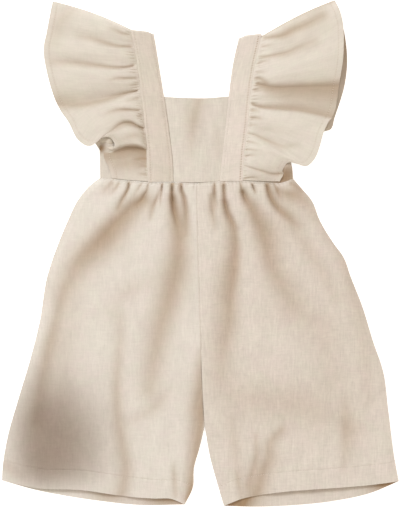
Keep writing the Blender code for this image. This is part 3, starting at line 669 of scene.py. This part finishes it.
def leg_edges(cut, hem):
    """A leg panel's waist, hem, centre-seam-and-inseam and side-seam edges."""
    inner = edge(CENTRE_SEAM, cut["inseam"]) + (cut["side"] * TOUCH / 2, 0.0)
    waist = edge(cut["waist"]) - (0.0, TOUCH)
    waist[0] = inner[0] = (inner[0][0], waist[0][1])
    side = edge(cut["side_seam"])
    side[0] = waist[-1]
    bottom = edge(cut[hem])
    bottom[0] = inner[-1]
    return waist, bottom, inner, side


def painted_fold_shade(depth):
    """How strongly shade is painted into the cloth's colour that deep in a fold."""
    return 1 - np.exp(-np.maximum(depth, 0) / FOLD_DEPTH)


def waist_gathers(cut, x, y, below):
    """The small gathers along the waist seam, each fading out a little way down."""
    total = np.zeros_like(x)
    start, end = cut["waist"][0][0], cut["waist"][-1][0]
    across = (x - x[:, :1]) / (x[:, -1:] - x[:, :1]) * abs(end - start)
    place = SMALL_GATHER
    while place < abs(end - start) - 2:
        depth, reach = SHADES.uniform(0.1, 1.0), SHADES.uniform(4, 14)
        total += depth * hump(across - place, SHADES.uniform(0.7, 1.2)) * (1 - smooth(below / reach))
        place += SMALL_GATHER * SHADES.uniform(0.6, 1.5)
    return total


def leg_front(label, cut, material):
    """A leg's front: gathered into the waist, crowned over its back and lifted at the hem."""
    outline = leg_edges(cut, "hem_front")
    rows = np.concatenate((even(LEG_GRID[1]) ** ROW_CROWDING,
                           1 - (LEG_HEM + HEM_ROWS) / lengths(outline[3])[-1]))
    flat = patch(*outline, even(LEG_GRID[0]), np.sort(rows))
    x, y = flat[..., 0], flat[..., 1]
    from_side, from_inner = away(flat, flat[:, -1:]), away(flat, flat[:, :1])
    from_waist, from_hem = away(flat, flat[:1]), away(flat, flat[-1:])
    opened, side_rise = smooth(from_waist / WAIST_RISE), domed(from_side)
    below_crotch = smooth((CENTRE_SEAM[-1][1] - y[:, :1]) / CROTCH_EASE)
    dipped = 1 - CENTRE_DIP / LEG_CROWN * hump(from_inner, DIP_WIDTH)
    inner_rise = (1 - below_crotch) * dipped + below_crotch * domed(from_inner)
    sunk = 1 - CROTCH_DROP * spot(x, y, *CENTRE_SEAM[-1], CROTCH_REACH)
    falling = 1 - CROWN_FALL * smooth((cut["waist"][0][1] - y) / CROWN_FALL_LENGTH)
    crown = LEG_CROWN * falling * side_rise * inner_rise * sunk * opened

    dip = crease_depth(x, y, cut["creases"]) + waist_gathers(cut, x, y, from_waist)
    # painted shade: fold darkens the colour in the creases and waist gathers, and a little along the
    # hem's stitching
    fold = painted_fold_shade(dip) + HEM_MARK * hump(from_hem - LEG_HEM, STITCH_WIDTH)
    dip = dip - sum(height * unevenness(x, y, *size) for height, *size in WRINKLES)
    crinkle_x, crinkle_y, amount = cut["crinkles"]
    crinkled = hump(np.hypot(x - crinkle_x, (y - crinkle_y) * CRINKLE_SLIM), CRINKLE_REACH)
    dip = (dip - amount * crinkled * unevenness(x, y, *CRINKLE_SIZE)) * opened * side_rise
    seam_level = LEG_LEVEL + (WAIST_LEVEL - LEG_LEVEL) * (1 - opened)
    seam_groove = SEAM_GROOVE * hump(from_inner, SEAM_WIDTH) * (1 - below_crotch)
    stitch_groove = HEM_GROOVE * hump(from_hem - LEG_HEM, GROOVE)
    pucker = PUCKER * np.sin(x / PUCKER_LENGTH + 2 * unevenness(x, y, 20, 60))
    pucker = pucker * hump(from_hem - LEG_HEM - 3, PUCKER_REACH)
    z = (seam_level + CLOTH / 2 + crown - np.minimum(dip, DEEPEST * crown) - seam_groove
         + (pucker - stitch_groove) * side_rise)
    thickness = hemmed(CLOTH, LEG_HEM, from_hem, 0.8)
    return shell("leg_front_" + label, np.dstack((x, y, z)), flat, material, thickness,
                 stain=stained(x, y), fold=fold)


def stained(x, y):
    """Strength of the soft grey-brown dark patch low on the left leg."""
    across, up = x - DARK_PATCH_CENTRE[0], y - DARK_PATCH_CENTRE[1]
    across = across / np.where(across > 0, DARK_PATCH_RIGHT, DARK_PATCH_LEFT)
    up = np.where(up > 0, up / DARK_PATCH_UP, abs(up / DARK_PATCH_DOWN) ** DARK_PATCH_FIRM)
    out = (abs(across) ** DARK_PATCH_SQUARE + abs(up) ** DARK_PATCH_SQUARE) ** (1 / DARK_PATCH_SQUARE)
    return np.exp(-out ** DARK_PATCH_EDGE)


def leg_back(label, cut, material):
    """A leg's back, flat on the floor, with shade painted in behind the front's hem."""
    flat = patch(*leg_edges(cut, "hem_back"), even(BACK_GRID[0]), even(BACK_GRID[1]))
    x, y = flat[..., 0], flat[..., 1]
    thickness = hemmed(BACK_CLOTH, LEG_HEM, away(flat, flat[-1:]), 0.8)
    # painted shadow under the front's hem, fading with the distance below it
    below = np.maximum(crossing(edge(cut["hem_front"])[:, ::-1], x) - y, 0)
    shade = sum(strength * hump(x - place, reach) * np.exp(-below / fall)
                for place, strength, reach, fall in cut["hem_shade"])
    return shell("leg_back_" + label, np.dstack((x, y, thickness / 2)), flat, material, thickness,
                 fold=shade)


# Bodice

def between_straps(neck_drop):
    """The edges of a panel between the straps: neckline, waist, left and right."""
    neck = [(x, y - neck_drop) for x, y in NECK]
    left = up_to(neck[0][1], EDGES_LEFT["strap_inner"]) + (TOUCH, 0.0)
    right = up_to(neck[-1][1], EDGES_RIGHT["strap_inner"]) - (TOUCH, 0.0)
    top = edge([left[-1], *neck[1:-1], right[-1]])
    bottom = edge([left[0], CENTRE_SEAM[0], right[0]])
    return top, bottom, left[::-1], right[::-1]


def bodice_panel(name, outline, steps, material, thickness, form):
    """One panel of the bodice: form(x, y) gives the height of the cloth's middle, and the shade painted
    into its colour.
    """
    flat = patch(*outline, even(steps[0]), even(steps[1]))
    z, shade = form(flat[..., 0], flat[..., 1])
    return shell(name, np.dstack((flat, z)), flat, material, thickness, fold=shade)


def bib_form(x, y):
    """The bib: slightly crowned, softly wrinkled along its warp, thicker at the turned neckline."""
    across = even(x.shape[1] - 1)[None]
    from_neck, from_waist = np.hypot(x - x[:1], y - y[:1]), np.hypot(x - x[-1:], y - y[-1:])
    soft = rolled(np.minimum(from_neck, from_waist), BIB_SOFT)
    wrinkle = (0.4 * unevenness(x, y, 9, 60) + 0.2 * unevenness(x, y, 5, 34)) * soft
    creased = crease_depth(x, y, FOLDS_BIB)
    wrinkle = wrinkle - BIB_CREASED * creased
    crown = BIB_CROWN * 4 * across * (1 - across)
    tucked = 0.6 * hump(across * BIB_WIDTH, 0.9) + 0.15 * hump((1 - across) * BIB_WIDTH, 0.9)
    z = BIB_LEVEL + CLOTH + crown + wrinkle - tucked - 0.2 * hump(from_waist, 1.5)
    # the second value is the shade painted into its creases
    return z, painted_fold_shade(creased)


def side_edges(cut):
    """The edges of a small side panel: armhole, waist, strap and side."""
    side, low = cut["side"], cut["waist"][-1][1]
    seam = up_to(cut["armhole"][0][1], cut["strap_outer"]) + (side * TOUCH, 0.0)
    foot = edge([seam[0], *(point for point in cut["waist"] if (point[0] - seam[0][0]) * side > TOUCH)])
    arm = edge([seam[-1], *cut["armhole"][1:]])
    underarm = edge([cut["armhole"][-1], *cut["underarm"], (foot[-1][0], low)])
    return arm, foot, seam[::-1], underarm


def side_panel(name, cut, material, level, lift):
    """A small side panel, its armhole edge lifted into the curl of the ruffle over it."""
    def form(x, y):
        """Flat but for the lifted edge, with shade painted in under the ruffle."""
        z = level + CLOTH / 2 + lift * spot(x, y, *cut["curl"], CURL_REACH)
        return z, sum(strength * spot(x, y, *place, reach) for *place, strength, reach in cut["shades"])

    return bodice_panel(name, side_edges(cut), PANEL_GRID, material, CLOTH, form)


def strap(label, cut, material):
    """A shoulder band: a front run, a fold at the shoulder and a back run flat on the floor."""
    across_steps, run_steps = STRAP_GRID
    outer, inner = (read(edge(cut[side]), even(run_steps)) for side in ("strap_outer", "strap_inner"))
    u = even(across_steps)
    width = np.linalg.norm(outer - inner, axis=1).mean()
    from_edge = np.minimum(u, 1 - u) * width
    # plump between the stitches, rounded at its edges and thick along the turned outer one
    profile = (0.25 * smooth(from_edge / 5) - 0.1 * hump(from_edge - STITCH_INSET, GROOVE)
               - 0.2 * hump(from_edge, 0.6) + 0.2 * hump(u * width - STITCH_INSET / 2, 1))
    back_z, front_z = STRAP_CLOTH / 2, BIB_LEVEL + STRAP_CLOTH / 2 + TOUCH
    radius = (front_z - back_z) / 2
    corner = STRAP_CORNER * (1 - smooth((1 - u) * width / 9))

    def row(step, z, beyond=0.0, lift=0.0):
        """One line across the band, moved beyond the fold line along +Y."""
        flat = outer[step] * (1 - u[:, None]) + inner[step] * u[:, None]
        rounded = (corner - STRAP_CREST) * smooth(1 - (run_steps - step) / 14)
        return np.column_stack((flat[:, 0], flat[:, 1] + beyond - rounded, z + lift * profile))

    rows = [row(step, front_z, 0.0, 1.0) for step in range(run_steps + 1)]
    for angle in np.pi * even(STRAP_BEND)[1:-1]:
        rows.append(row(run_steps, back_z + radius * (1 + np.cos(angle)), radius * np.sin(angle),
                        np.cos(angle / 2) ** 2))
    rows += [row(step, back_z) for step in range(run_steps, -1, -1)]
    grid = np.array(rows)
    front = slice(0, run_steps + 1)
    grid[front, :, 2] += 0.16 * unevenness(grid[front, :, 0], grid[front, :, 1], 12, 22)
    along = lengths(grid[:, across_steps // 2])[:, None]
    grain = np.dstack(np.broadcast_arrays(u[None] * width + STRAP_GRAIN, along))
    holes = 0.5 + 0.5 * np.cos(2 * np.pi * (along + 0.5) / STITCH_PITCH)
    grid[front, :, 2] -= 0.24 * holes[front] * hump(from_edge - STITCH_INSET, GROOVE)
    # painted shade: darker along both rows of topstitching, in dots at the needle holes, and towards the
    # inner edge, on the front run only
    steady, dotted, inner_mark = cut["stitch_marks"]
    mark = ((steady + dotted * holes ** 2) * hump(u * width - STITCH_INSET, STITCH_WIDTH)
            + inner_mark * hump((1 - u) * width - STITCH_INSET, STITCH_WIDTH)
            + cut["inner_shade"] * smooth(u))
    mark[run_steps + 1:] = 0
    return shell("strap_" + label, grid, grain, material, STRAP_CLOTH, front, fold=mark)


# Cloth

def normals(grid, upward):
    """Unit normals of a grid of points, turned so that its rows upward face up on the whole."""
    normal = np.cross(np.gradient(grid, axis=1), np.gradient(grid, axis=0))
    normal *= np.sign(normal[upward, :, 2].sum())
    return normal / np.maximum(np.linalg.norm(normal, axis=-1, keepdims=True), 1e-9)


def shell(name, grid, grain, material, thickness, upward=slice(None), **marks):
    """A piece of cloth in the place of one solid, and its grid: a closed thin shell round the grid.

    grain holds each point's place on the flat cloth, along its weft and its warp, and marks the strength
    of the dark patch or of the shade painted into its folds, along its stitching and under other parts.
    """
    rows, columns = grid.shape[:2]
    count = rows * columns
    normal = normals(grid, upward)
    half = np.broadcast_to(thickness, (rows, columns))[..., None] / 2 * normal
    points = np.concatenate((grid + half, grid - half)).reshape(-1, 3)
    points[:, 2] = np.maximum(points[:, 2], 0.0)
    index = np.arange(count).reshape(rows, columns)
    quads = np.stack((index[:-1, :-1], index[:-1, 1:], index[1:, 1:], index[1:, :-1]), axis=-1)
    quads = quads.reshape(-1, 4)
    rim = np.concatenate((index[0], index[1:, -1], index[-1, -2::-1], index[-2:0:-1, 0]))
    following = np.roll(rim, -1)
    sides = np.stack((following, rim, rim + count, following + count), axis=-1)
    faces = np.concatenate((quads, quads[:, ::-1] + count, sides))
    corner = np.cross(grid[0, 1] - grid[0, 0], grid[1, 0] - grid[0, 0])
    if corner @ normal[0, 0] < 0:
        faces = faces[:, ::-1]
    piece = mesh_object(name + "_linen", points, faces.tolist(), material)
    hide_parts(name)
    flat = np.dstack((grain, np.zeros((rows, columns)))).reshape(-1, 3)
    attribute(piece, "grain", np.tile(flat, (2, 1)))
    # painted shade: inside is 1 on each shell's inner face, which is tinted darker, and fold carries the
    # shade painted into folds, along stitching and under other parts
    attribute(piece, "inside", np.repeat((0.0, 1.0), count))
    for mark in ("stain", "fold"):
        attribute(piece, mark, np.tile(marks.get(mark, np.zeros(count)).ravel(), 2))
    return piece, grid


# Ruffles

def ruffle(label, cut, material):
    """A gathered strip: rays from the strap's edge to the hem, joined by a smooth surface."""
    in_front, behind = even(FRONT_RAYS) * FOLD_SHARE, 1 - even(BACK_RAYS)[::-1] * (1 - FOLD_SHARE)
    fan = spline(cut["rays"], np.concatenate((in_front, behind[1:])))
    seam_y, seam_z = fan[:, 0], fan[:, 1]
    is_front = smooth((seam_z - FRONT_SEAM / 2) / (FRONT_SEAM / 2))[:, None]
    for column in (4, 7):
        calm = blurred(fan[:, column], WAVE_BLUR)
        fan[:, column] += (1 - WAVE) * is_front[:, 0] * (calm - fan[:, column])
    seam_x = crossing(edge(cut["strap_outer"]), seam_y) + cut["side"] * TOUCH
    seam = np.stack((seam_x, seam_y, seam_z - SEAM_SINK * is_front[:, 0]), axis=1)[:, None]
    middle, hem = fan[:, None, 2:5], fan[:, None, 5:8]
    share = np.concatenate((even(RUFFLE_STEPS) ** RAY_CROWDING * HEM_SHARE,
                            HEM_SHARE + (1 - HEM_SHARE) * even(HEM_STEPS)[1:]))
    s = share[None, :, None]
    grid = seam * (1 - s) * (1 - 2 * s) + middle * 4 * s * (1 - s) + hem * s * (2 * s - 1)

    puff = (middle[..., 2] - seam[..., 2]) * share / PUFF_REACH * np.exp(-share / PUFF_REACH)
    pinch = np.zeros_like(puff)
    for gather_y, depth, reach, width in small_gathers(seam_y.max()):
        near = hump(seam_y[:, None] - gather_y, width * (1 + GATHER_SPREAD * share[None]))
        pinch += depth * near * smooth(share / PINCH_START) * (1 - smooth(share / reach))
    pinch += crease_depth(grid[..., 0], grid[..., 1], cut["folds"]) * smooth(share / PINCH_START)
    lifted = grid[..., 2] + PUFF * puff * is_front
    pinched = np.maximum(lifted - pinch, np.minimum(lifted, RUFFLE_FLOOR))
    grid[..., 2] = np.maximum(np.where(is_front > 0, pinched, grid[..., 2]), CLOTH / 2)
    curl_x, curl_y = cut["curl"]
    in_curl = spot(grid[..., 0], grid[..., 1], curl_x + 1, curl_y + 4, CURL_REACH)
    grid[..., 2] += cut["curl_rise"] * in_curl * (1 - is_front)
    faded = 0.1 + 0.9 * smooth((grid[..., 1] - BEHIND_LOW) / BEHIND_FADE)

    steps = np.linalg.norm(np.diff(grid, axis=1), axis=-1).mean(axis=0)
    around, outward = np.broadcast_arrays(lengths(grid[:, -1])[:, None], added_up(steps)[None])
    grid[..., 2] += 0.18 * is_front * unevenness(around, outward, 7, 30)
    from_hem = away(grid, grid[:, -1:])
    grid[..., 2] -= 0.22 * hump(from_hem - RUFFLE_HEM, 0.6) * is_front
    thickness = hemmed(CLOTH, RUFFLE_HEM, from_hem, 0.7)
    # painted shade: in the gathers and creases of the front, on the back run where the front hem shades
    # it, and along the hem's stitching
    shade = (painted_fold_shade(pinch * is_front) + cut["behind"] * (1 - is_front) * faded
             + RUFFLE_MARK * hump(from_hem - RUFFLE_HEM, STITCH_WIDTH))
    return shell("ruffle_" + label, grid, np.dstack((around, outward + RUFFLE_GRAIN)), material,
                 thickness, slice(FRONT_RAYS // 2), fold=shade)


def small_gathers(top):
    """The many small gathers between a ruffle's main ones: place, depth, reach and width."""
    made, place = [], FIRST_GATHER
    while place < top - 1:
        depth, reach, width = (SHADES.uniform(*limits) for limits in GATHER_LIMITS)
        made.append((place, depth, reach, width))
        place += SMALL_GATHER * SHADES.uniform(0.55, 1.4)
    return made


def blurred(values, reach):
    """A row of values averaged over reach neighbours on each side."""
    weights = np.hanning(2 * reach + 3)
    padded = np.pad(values, reach + 1, mode="edge")
    return np.convolve(padded, weights / weights.sum(), mode="valid")


# Stitches

def inset_line(grid, distance):
    """The line on a grid of points that runs at a distance inside its first column."""
    return np.array([[np.interp(distance, steps, column) for column in line.T]
                     for steps, line in zip(away(grid, grid[:, :1]), grid)])


def stitches(name, lines, level, material):
    """Rows of short threads along lines on the cloth, joined into one mesh."""
    shares = even(STITCH_RINGS)
    around = 2 * np.pi * np.arange(STITCH_SIDES) / STITCH_SIDES
    points = []
    for line in lines:
        length = lengths(line)[-1]
        starts = np.arange(STITCH_PITCH, length - 2 * STITCH_PITCH, STITCH_PITCH)
        for start in starts + SHADES.uniform(-0.2, 0.2, len(starts)):
            spine = read(line, (start + STITCH_LENGTH * shares) / length)
            spine[:, 2] += level + STITCH_RISE * np.sin(np.pi * shares)
            ahead = spine[-1] - spine[0]
            sideways = np.array((-ahead[1], ahead[0], 0.0)) / np.hypot(*ahead[:2])
            radius = STITCH_RADIUS * np.sqrt(np.sin(np.pi * (0.08 + 0.84 * shares)))
            ring = np.cos(around)[:, None] * sideways + np.sin(around)[:, None] * (0.0, 0.0, 1.0)
            points.append(spine[:, None] + radius[:, None, None] * ring)
    index = np.arange(STITCH_SIDES)
    following = (index + 1) % STITCH_SIDES
    ring_faces = np.stack((index, following, following + STITCH_SIDES, index + STITCH_SIDES), axis=1)
    faces = []
    for stitch in range(len(points)):
        first = stitch * (STITCH_RINGS + 1) * STITCH_SIDES
        for ring in range(STITCH_RINGS):
            faces += (ring_faces + first + ring * STITCH_SIDES).tolist()
        faces += [(first + index[::-1]).tolist(), (first + STITCH_RINGS * STITCH_SIDES + index).tolist()]
    points = np.concatenate(points).reshape(-1, 3)
    sewn_in = mesh_object(name, points, faces, material)
    attribute(sewn_in, "stain", stained(points[:, 0], points[:, 1]))
    return sewn_in


# hem_shade, behind, shades, inner_shade and stitch_marks are strengths of painted shade: behind the
# legs' front hems, on the ruffles' back runs, under the ruffles, across the straps and along their
# stitching
CUTS = {
    "left": {
        **EDGES_LEFT, "side": -1, "rays": RAYS_LEFT,
        "hem_shade": ((-102, 0.75, 20, 9), (-36, 1.0, 28, 12)), "curl": (-101, 121),
        "armhole_lift": 4.0, "curl_rise": 9.0, "behind": 0.0,
        "shades": ((-101, 121, 0.1, 26), (-109, 116, 1.0, 4.5), (-84, 98, 0.3, 8)),
        "stitch_marks": (0.1, 0.3, 0.2), "inner_shade": 0.06, "crinkles": (-45, -210, 0.1),
        "folds": FOLDS_LEFT, "creases": CREASES_LEFT,
    },
    "right": {
        **EDGES_RIGHT, "side": 1, "rays": RAYS_RIGHT,
        "hem_shade": ((34, 1.7, 25, 30), (212, 1.5, 24, 12), (120, 0.35, 60, 4)), "curl": (95, 96),
        "armhole_lift": 6.5, "curl_rise": 0.0, "behind": 0.55,
        "shades": ((92, 84, 0.95, 18),),
        "stitch_marks": (0.08, 1.4, 0), "inner_shade": 0, "crinkles": (62, -190, 0.3),
        "folds": FOLDS_RIGHT, "creases": CREASES_RIGHT,
    },
}


# Camera, light and floor

PIXEL = 1.1  # what one pixel of the 400 x 508 image shows on the floor
IMAGE_HEIGHT = 508
CENTRE = (-0.3, -0.2)  # the point under the camera
CAMERA_HEIGHT = 2800.0
SENSOR = 36.0


def camera():
    """Straight above the garment."""
    data = bpy.data.cameras.new("camera")
    data.sensor_width = SENSOR
    data.lens = SENSOR * CAMERA_HEIGHT / (IMAGE_HEIGHT * PIXEL)
    place = np.array((*CENTRE, CAMERA_HEIGHT)) * MM
    bpy.context.scene.camera = placed("camera", data, place)


def lamp(name, place, size, power, colour):
    """A square soft light that looks at the garment."""
    data = bpy.data.lights.new(name, "AREA")
    data.size, data.energy, data.color = size, power, colour
    placed(name, data, place).rotation_euler = (-Vector(place)).to_track_quat("-Z", "Y").to_euler()


def studio():
    """Soft light from the upper left, fill from all round, and a pale floor."""
    lamp("key", (-2.7, 3.1, 3.5), 1.6, 168.0, (0.88, 0.94, 1.0))
    lamp("fill", (1.8, -1.2, 4.0), 3.4, 46.0, (1.0, 0.95, 0.90))
    world = bpy.data.worlds.new("studio")
    world.use_nodes = True
    sky = world.node_tree.nodes["Background"].inputs
    sky["Color"].default_value = (1.0, 0.88, 0.77, 1.0)
    sky["Strength"].default_value = 0.62
    bpy.context.scene.world = world
    bpy.context.scene.view_settings.view_transform = "Standard"
    bpy.ops.mesh.primitive_grid_add(x_subdivisions=4, y_subdivisions=4, size=12.0)
    floor = bpy.context.object
    floor.name = "floor"
    paper = principled("floor", Base_Color=(0.93, 0.93, 0.93, 1.0), Roughness=0.9,
                       Emission_Color=(1.0, 1.0, 1.0, 1.0), Emission_Strength=0.6)[0]
    floor.data.materials.append(paper)


# Colour of each part's linen, and how slubby it looks. All of it is one undyed linen; each part gets its
# own lighter or darker copy of the colour, painted light and shade for how the light falls on it, most
# of all the left and right straps and legs.
LINEN_COLOURS_WITH_PAINTED_LIGHT = [("bodice", (0.664, 0.621, 0.553), 1.0), ("strap_left", (0.645, 0.59, 0.515), 1.0),
          ("strap_right", (0.695, 0.64, 0.575), 1.0), ("ruffle", (0.68, 0.638, 0.565), 0.6),
          ("leg_left", (0.712, 0.675, 0.615), 0.85), ("leg_right", (0.675, 0.625, 0.56), 1.2)]


def garment():
    """Every piece of the romper."""
    looks = {name: linen("linen_" + name, colour, slub) for name, colour, slub in LINEN_COLOURS_WITH_PAINTED_LIGHT}
    bodice = looks["bodice"]
    made = {
        "bib_front": bodice_panel("bib_front", between_straps(0.0), BIB_GRID, bodice, CLOTH, bib_form),
        "back_centre": bodice_panel("back_centre", between_straps(NECK_BACK_DROP), PANEL_GRID, bodice,
                                    BACK_CLOTH, lambda x, y: (0 * x + BACK_CLOTH / 2, 0 * x)),
    }
    for label, cut in CUTS.items():
        made["strap_" + label] = strap(label, cut, looks["strap_" + label])
        for layer, level, lift in (("side_front_", SIDE_FRONT_LEVEL, cut["armhole_lift"]),
                                   ("side_back_", SIDE_BACK_LEVEL, 0.0)):
            name = layer + label
            made[name] = side_panel(name, cut, bodice, level, lift)
        made["ruffle_" + label] = ruffle(label, cut, looks["ruffle"])
        made["leg_front_" + label] = leg_front(label, cut, looks["leg_" + label])
        made["leg_back_" + label] = leg_back(label, cut, looks["leg_" + label])
    return made


def sewn(made):
    """The visible topstitching, by the piece that it is sewn into."""
    thread, sewing = sewing_thread(), {}
    for label in CUTS:
        band = made["strap_" + label][1][:STRAP_GRID[1] + 1]
        frill = made["ruffle_" + label][1][:STITCHED_RAYS, ::-1]
        leg = made["leg_front_" + label][1][::-1].swapaxes(0, 1)
        for kind, level, inset, grids in (("strap_", STRAP_CLOTH, STITCH_INSET, (band, band[:, ::-1])),
                                          ("ruffle_", CLOTH, RUFFLE_HEM, (frill,)),
                                          ("leg_front_", CLOTH + HEM_RIDGE, LEG_HEM, (leg,))):
            name, lines = kind + label, [inset_line(grid, inset) for grid in grids]
            sewing[name] = stitches(name + "_stitches", lines, level / 2, thread)
    return sewing


camera()
studio()
pieces = garment()
sewn(pieces)
